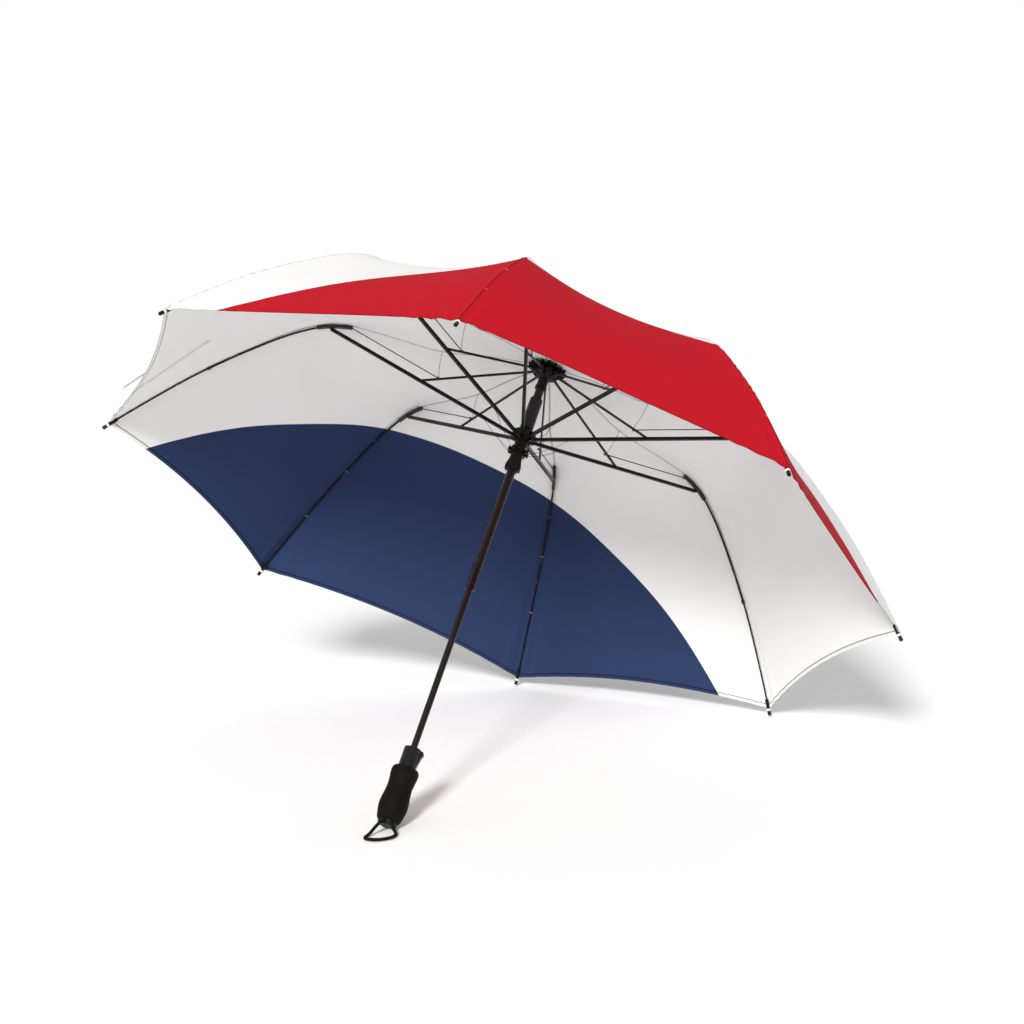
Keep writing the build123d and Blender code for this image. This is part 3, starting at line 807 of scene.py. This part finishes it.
def cord_path():
    """The middle line of the wrist cord, from one mouth over the ground to the other."""
    mouths = []
    for side in (-1, 1):
        angle = CORD_HEADING + side * MOUTH_SPREAD
        outwards = Vector((math.cos(angle), math.sin(angle), 0))
        mouths.append([outwards * radius + UP * MOUTH_HEIGHT for radius in MOUTH_RADII])
    heading = Vector((math.cos(CORD_HEADING), math.sin(CORD_HEADING), 0))
    across = heading.cross(GROUND_NORMAL).normalized()
    away = GROUND_NORMAL.cross(across)
    laid = [GROUND_POINT + (across * a + away * b + GROUND_NORMAL * c) * MM for a, b, c in CORD_LOOP]
    return smooth_path(mouths[0] + laid + mouths[1][::-1], CORD_STEPS)


def make_wrist_cord(material):
    """A looped cord laid from three twisted strands."""
    path = cord_path()
    along = np.gradient(path, axis=0)
    along /= np.linalg.norm(along, axis=1, keepdims=True)
    side = np.cross(along, np.array(GROUND_NORMAL))
    side /= np.linalg.norm(side, axis=1, keepdims=True)
    lift = np.cross(side, along)
    for strand in range(CORD_STRANDS):
        turn = (running_length(path) / CORD_TWIST_LENGTH + strand / CORD_STRANDS) * math.tau
        line = path + CORD_STRAND_RADIUS * (side * np.cos(turn)[:, None] + lift * np.sin(turn)[:, None])
        name = f"wrist_cord_strand_{strand + 1}"
        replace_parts(tube(name, line, CORD_STRAND_RADIUS, material, "handle"), "wrist_cord")


ROSETTE_RADII = (0.0085, 0.0305)
ROSETTE_BELOW_CANOPY = 0.0018
ROSETTE_THICKNESS = 0.0004
ROSETTE_PLEATS = 17
ROSETTE_PLEAT_DEPTH = 0.0030
ROSETTE_PLEAT_PEAK = 1.35


def rosette_ring(angle, t, below):
    """One ring of the rosette's points. t runs 0..1 from its hole to its rim."""
    inner, outer = ROSETTE_RADII
    pleat = np.cos(angle * ROSETTE_PLEATS) + 0.35 * np.cos(angle * 7 + 0.6)
    radius = inner + (outer - inner) * t * (1 + 0.055 * pleat * t)
    drop = ROSETTE_PLEAT_DEPTH * t * (ROSETTE_PLEAT_PEAK - pleat) / 2 * min(1, t * 1.3)
    ripple = 0.0004 * np.sin(angle * 5 + 1) * t
    height = canopy_high.z - ROSETTE_BELOW_CANOPY - 0.0008 * t - drop - below - ripple
    return np.stack([radius * np.cos(angle), radius * np.sin(angle), height], axis=-1)


def make_rosette(material):
    """A gathered round of black fabric between the crown hub and the canopy."""
    turns, rings = 192, 9
    angle = np.linspace(0, math.tau, turns, endpoint=False)
    shares = np.linspace(0, 1, rings)
    points = [rosette_ring(angle, t, below) for below in (0, ROSETTE_THICKNESS) for t in shares]
    index = np.arange(2 * rings * turns).reshape(2, rings, turns)
    top, bottom = (np.concatenate([layer, layer[:, :1]], axis=1) for layer in index)
    rim = grid_faces(np.stack([top[-1], bottom[-1]]))
    hole = grid_faces(np.stack([bottom[0], top[0]]))
    faces = np.concatenate([grid_faces(top), grid_faces(bottom)[:, ::-1], rim, hole])
    mesh = bpy.data.meshes.new("crown_rosette_cloth")
    mesh.from_pydata(np.concatenate(points).tolist(), [], faces.tolist())
    mesh.polygons.foreach_set("use_smooth", np.ones(len(mesh.polygons), bool))
    mesh.update()
    piece = place_mesh("crown_rosette_cloth", mesh, material, "upper_shaft")
    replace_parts(piece, "crown_rosette")


STRAP_HALF_WIDTH = 0.005
STRAP_THICKNESS = 0.0009
STRAP_ROOT_LIFT = 0.0012
STRAP_TIP_LIFT = 0.0090
STRAP_WAVE = 0.0008
STRAP_CURL = 0.0006
STRAP_STATIONS = 60
STRAP_ROUND_END = 0.045
STRAP_SHARES = np.linspace(-1, 1, 9)


def strap_profile(t):
    """The ribbon's outline, square to its length. t runs 0..1 from the root to the tip."""
    length, along, across, outwards = strap_frame()
    rise = (STRAP_TIP_LIFT - STRAP_ROOT_LIFT) * smooth(t * 1.9)
    lift = STRAP_ROOT_LIFT + rise + STRAP_WAVE * math.sin(t * 9)
    end = max(0.0, 1 - (1 - t) / STRAP_ROUND_END)
    width = STRAP_HALF_WIDTH * math.sqrt(max(0.02, 1 - end * end))
    centre = STRAP_ROOT + along * (t * length) + outwards * lift

    def face(shares, thickness):
        curls = [STRAP_CURL * share * share * math.sin(t * 4) + thickness for share in shares]
        return [centre + across * (s * width) + outwards * curl for s, curl in zip(shares, curls)]

    return face(STRAP_SHARES, STRAP_THICKNESS) + face(STRAP_SHARES[::-1], 0)


def make_strap_ribbon(material):
    """A ribbon sewn to the canopy's outside at its root, lifting off towards its end."""
    rows = [strap_profile(i / STRAP_STATIONS) for i in range(STRAP_STATIONS + 1)]
    index = np.arange(len(rows) * len(rows[0])).reshape(len(rows), -1)
    wrapped = np.concatenate([index, index[:, :1]], axis=1)
    sides = grid_faces(wrapped)[:, ::-1].tolist()
    ends = [index[0, ::-1].tolist(), index[-1].tolist()]
    mesh = bpy.data.meshes.new("closing_strap_ribbon")
    mesh.from_pydata([tuple(point) for row in rows for point in row], [], sides + ends)
    mesh.update()
    strap = place_mesh("closing_strap_ribbon", mesh, material, "strap")
    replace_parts(strap, "closing_strap")
    fold_onto_rib(strap, STRAP_RIB, OUTER_ZONE)


STUD_RADIUS = 0.0036
STUD_HEIGHT = 0.0011
STUD_FROM_TIP = 0.008
STUD_LIFT = 0.0104


def make_strap_stud(material):
    """The press stud near the strap's tip, with a rounded edge."""
    length, along, _, outwards = strap_frame()
    bpy.ops.mesh.primitive_cylinder_add(vertices=40, radius=STUD_RADIUS, depth=STUD_HEIGHT)
    stud = bpy.context.object
    stud.name = "closing_strap_stud"
    centre = STRAP_ROOT + along * (length - STUD_FROM_TIP) + outwards * STUD_LIFT
    turn = outwards.to_track_quat("Z", "Y").to_matrix().to_4x4()
    stud.matrix_world = Matrix.Translation(centre) @ turn
    bevel = stud.modifiers.new("edge", "BEVEL")
    bevel.width, bevel.segments = 0.0004, 3
    stud.data.materials.append(material)
    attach(stud, "strap")
    fold_onto_rib(stud, STRAP_RIB, OUTER_ZONE)


def make_opening_spring(material):
    """The long coil inside the tubes, riding on the upper shaft."""
    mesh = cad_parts["opening_spring"].data.copy()
    coil = place_mesh("opening_spring_coil", mesh, material, "upper_shaft")
    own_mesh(coil)
    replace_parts(coil, "opening_spring")


# The small cords of a rib. A foot and a head are places in millimetres: distance from the shaft, height
# and step to the side.
TIE_FOOT = (160.4, 721.5, 0)
TIE_SEAM_RADIUS = 0.170
TIE_BELOW_SEAM = 0.0006
TIE_SLACK = 0.0012
TIE_RADIUS = 0.00035
CORD_FOOT = (17.5, 634.5, 2.0)
CORD_HEAD = (76, 679.5, 2.2)
CORD_SLACK = 0.004
STRETCHER_CORD_RADIUS = 0.0003
EYELET_RADII = (0.430, 0.486, 0.561)
EYELET_RADIUS = 0.0027
EYELET_THREAD_RADIUS = 0.00042
EYELET_BELOW_SEAM = 0.0024
EYELET_STEP = 0.004


def in_rib_plane(rib, radius, height, sideways):
    """A point beside a rib's plane, from millimetres."""
    return (rib_direction(rib) * radius + beside_rib(rib) * sideways + UP * height) * MM


def slack_line(start, end, bow, count):
    """Points from start to end that bow out in the middle."""
    return [start.lerp(end, t) + bow * math.sin(t * math.pi) for t in np.linspace(0, 1, count)]


def make_seam_tie(rib, thread):
    """The tie from a crown link up to its seam."""
    foot = in_rib_plane(rib, *TIE_FOOT)
    seam = seam_point(rib, TIE_SEAM_RADIUS) - UP * TIE_BELOW_SEAM
    line = slack_line(foot, seam, rib_direction(rib) * TIE_SLACK, 12)
    tie = tube(f"seam_tie_{rib + 1}", line, TIE_RADIUS, thread, f"crown_link_{rib + 1}")
    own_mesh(tie)


def make_stretcher_cord(rib, thread):
    """The light cord that hangs beside a stretcher."""
    foot, head = in_rib_plane(rib, *CORD_FOOT), in_rib_plane(rib, *CORD_HEAD)
    line = slack_line(foot, head, UP * -CORD_SLACK, 16)
    name = f"stretcher_cord_{rib + 1}"
    tube(name, line, STRETCHER_CORD_RADIUS, thread, f"stretcher_{rib + 1}")


def make_eyelets(rib, thread):
    """The stitched eyelets that hold the seam to its rib."""
    tangent = beside_rib(rib)
    for place, radius in enumerate(EYELET_RADII):
        body = "rib_inner" if radius < ZONE_RADII[OUTER_ZONE] else "rib_outer"
        at = seam_point(rib, radius)
        ahead = (seam_point(rib, radius + EYELET_STEP) - at).normalized()
        down = tangent.cross(ahead)
        if down.z > 0:
            down.negate()
        ring = circle(at + down * EYELET_BELOW_SEAM, tangent, down, EYELET_RADIUS, 24)
        name = f"rib_thread_{rib + 1}_{place + 1}"
        tube(name, ring, EYELET_THREAD_RADIUS, thread, f"{body}_{rib + 1}", closed=True)


TIP_LOOP_RADIUS = 0.0031
TIP_LOOP_CORD_RADIUS = 0.0007
TIP_LOOP_TURNS = 3
TIP_LOOP_PITCH = 0.0012
TIP_LOOP_SLOPE = 1.3
TIP_LOOP_DROP = 0.0052
TIP_AXIS_RADIUS = 0.640


def make_tip_loops(rib, material):
    """The white cloth loop that holds a tip cap at the canopy's corner."""
    out = rib_direction(rib)
    cap_way = (out - UP * TIP_LOOP_SLOPE).normalized()
    sideways = beside_rib(rib)
    upwards = cap_way.cross(sideways)
    corner = UP * (TIP_HEIGHT - TIP_LOOP_DROP) + out * TIP_AXIS_RADIUS
    for turn in range(TIP_LOOP_TURNS):
        centre = corner - cap_way * TIP_LOOP_PITCH * (turn + 1)
        ring = circle(centre, sideways, upwards, TIP_LOOP_RADIUS, 28)
        name, body = f"tip_loop_{rib + 1}_{turn + 1}", f"rib_outer_{rib + 1}"
        tube(name, ring, TIP_LOOP_CORD_RADIUS, material, body, closed=True)


def make_rib_cords(thread, light_thread, cloth):
    """Everything small that hangs on the eight ribs."""
    for rib in range(RIBS):
        make_seam_tie(rib, thread)
        make_stretcher_cord(rib, thread)
        make_eyelets(rib, light_thread)
        make_tip_loops(rib, cloth)


# ---- finishes ----

def finish_frame(finishes):
    """Gives each part of the frame its material, by the longest matching start of its name."""
    for name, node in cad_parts.items():
        key = max((k for k in finishes if name.startswith(k)), key=len)
        node.data.materials.clear()
        node.data.materials.append(finishes[key])


grip = grip_material()
gloss_black = plastic_material("black_plastic", GLOSS_BLACK, 0.14, 700.0, 0.00005, 0.35)
matte_black = plastic_material("matte_black_plastic", MATTE_BLACK, 0.42, 1100.0, 0.00015, 0.18)
shaft = shaft_material()
frame_metal = metal_material("frame_metal", FRAME_BLACK, FRAME_WORN, 0.36)
rod_metal = metal_material("rod_fibre", ROD_BLACK, ROD_WORN, 0.32)
wire_steel = metal_material("wire_steel", WIRE_GREY, WIRE_WORN, 0.28)
spring_steel = metal_material("spring_steel", SPRING_GREY, SPRING_WORN, 0.3)
cord = thread_material("cord", CORD_BLACK, 0.0011)
light_thread = thread_material("light_thread", THREAD_GREY, 0.0006)
ribbon = strap_material()
rosette = thread_material("rosette_fabric", ROSETTE_BLACK, 0.0012)
canopy_cloth = canopy_material()

finish_frame({
    "grip": grip, "end_cap": matte_black, "handle_collar": gloss_black,
    "push_button": gloss_black, "button_spring": spring_steel, "wrist_cord": cord,
    "lower_tube": shaft, "upper_tube": shaft, "tube_guide": matte_black,
    "tube_collar": gloss_black, "opening_spring": spring_steel, "runner": matte_black,
    "runner_sleeve": gloss_black, "crown_hub": matte_black, "crown_ring_wire": wire_steel,
    "top_cap": gloss_black, "crown_rosette": rosette, "canopy": canopy_cloth,
    "closing_strap": ribbon, "crown_link": frame_metal, "stretcher": frame_metal,
    "link_wire": frame_metal, "rib_inner": frame_metal, "rib_outer": rod_metal,
})
make_canopy(canopy_cloth)
make_rosette(rosette)
make_wrist_cord(cord)
make_strap_ribbon(ribbon)
make_strap_stud(wire_steel)
make_opening_spring(spring_steel)
make_rib_cords(cord, light_thread, ribbon)


# ---- ground, light and camera ----

GROUND_SIZE = 60
GROUND_CLEARANCE = 0.0005
GROUND_MIDDLE = Vector((0.35, -0.12, 0))
FADE_START = 0.9
FADE_END = 1.7


def ground_material():
    """White near the umbrella, fading to plain light further out. From below it isn't seen."""
    n = Nodes("ground")
    n.set(Base_Color=GROUND_WHITE, Roughness=0.9, Specular_IOR_Level=0.1)
    n.set(Emission_Color=PURE_WHITE, Emission_Strength=0.02)
    distance = n.add("ShaderNodeVectorMath", {"operation": "LENGTH"})
    n.put(distance.inputs[0], n.object_place())
    fade = n.add("ShaderNodeMapRange", {"interpolation_type": "SMOOTHSTEP"})
    n.put(fade.inputs["Value"], distance.outputs["Value"])
    n.put(fade.inputs["From Min"], FADE_START)
    n.put(fade.inputs["From Max"], FADE_END)
    bright = n.add("ShaderNodeEmission", Strength=1.0)
    faded = n.blend_shaders(fade.outputs[0], n.surface, bright)
    underside = n.add("ShaderNodeNewGeometry").outputs["Backfacing"]
    n.show(n.blend_shaders(underside, faded, n.add("ShaderNodeBsdfTransparent")))
    return n.material


def make_ground():
    """The ground on which the handle and two rib tips rest."""
    bpy.ops.mesh.primitive_plane_add(size=GROUND_SIZE)
    ground = bpy.context.object
    ground.name = "ground"
    turn = GROUND_NORMAL.to_track_quat("Z", "Y").to_matrix().to_4x4()
    height = (GROUND_MIDDLE - GROUND_POINT).dot(GROUND_NORMAL)
    middle = GROUND_MIDDLE - GROUND_NORMAL * (height + GROUND_CLEARANCE)
    ground.matrix_world = Matrix.Translation(middle) @ turn
    ground.data.materials.append(ground_material())


CAMERA_PLACE = Vector((-3.5404, -0.7414, -0.9865))
CAMERA_FORWARD = Vector((0.9034, 0.1835, 0.3875)).normalized()
CAMERA_RIGHT = CAMERA_FORWARD.cross(Vector((-0.4242, 0.2510, 0.8701))).normalized()
CAMERA_LENS = 89.68
SENSOR_WIDTH = 36
CAMERA_REACH = 200


def make_camera():
    """The camera stands 1.2 m above the ground and looks slightly down, into the canopy."""
    camera = link_object("camera", bpy.data.cameras.new("camera"))
    up = CAMERA_RIGHT.cross(CAMERA_FORWARD)
    turn = Matrix((CAMERA_RIGHT, up, -CAMERA_FORWARD)).transposed().to_4x4()
    camera.matrix_world = Matrix.Translation(CAMERA_PLACE) @ turn
    camera.data.lens = CAMERA_LENS
    camera.data.sensor_width = SENSOR_WIDTH
    camera.data.clip_end = CAMERA_REACH
    bpy.context.scene.camera = camera


SURROUND = 0.55
KEY_STRENGTH = 3.35
KEY_SPREAD = math.radians(11)

# The key light shines this far ahead, to the right and down, seen from the camera over level ground.
KEY_AHEAD = 2.71
KEY_RIGHT = 0.70
KEY_DOWN = 1.75


def make_key_light():
    """A distant light with soft edges, from behind the camera and above."""
    light = bpy.data.lights.new("key_light", "SUN")
    light.energy = KEY_STRENGTH
    light.angle = KEY_SPREAD
    ahead = (CAMERA_FORWARD - GROUND_NORMAL * CAMERA_FORWARD.dot(GROUND_NORMAL)).normalized()
    towards = ahead * KEY_AHEAD + CAMERA_RIGHT * KEY_RIGHT - GROUND_NORMAL * KEY_DOWN
    key = link_object("key_light", light)
    key.matrix_world = towards.to_track_quat("-Z", "Y").to_matrix().to_4x4()


def make_surround():
    """A surround that looks white to the camera and lights the object less strongly."""
    world = bpy.data.worlds.new("studio")
    bpy.context.scene.world = world
    world.use_nodes = True
    nodes, links = world.node_tree.nodes, world.node_tree.links
    background = nodes["Background"]
    background.inputs["Color"].default_value = PURE_WHITE
    strength = nodes.new("ShaderNodeMapRange")
    strength.inputs["To Min"].default_value = SURROUND
    strength.inputs["To Max"].default_value = 1.0
    links.new(nodes.new("ShaderNodeLightPath").outputs["Is Camera Ray"], strength.inputs["Value"])
    links.new(strength.outputs[0], background.inputs["Strength"])


def set_plain_view():
    """Colours are shown as they are, without a film look."""
    settings = bpy.context.scene.view_settings
    settings.view_transform = "Standard"
    settings.look = "None"
    settings.exposure = 0
    settings.gamma = 1


make_ground()
make_camera()
make_surround()
make_key_light()
set_plain_view()
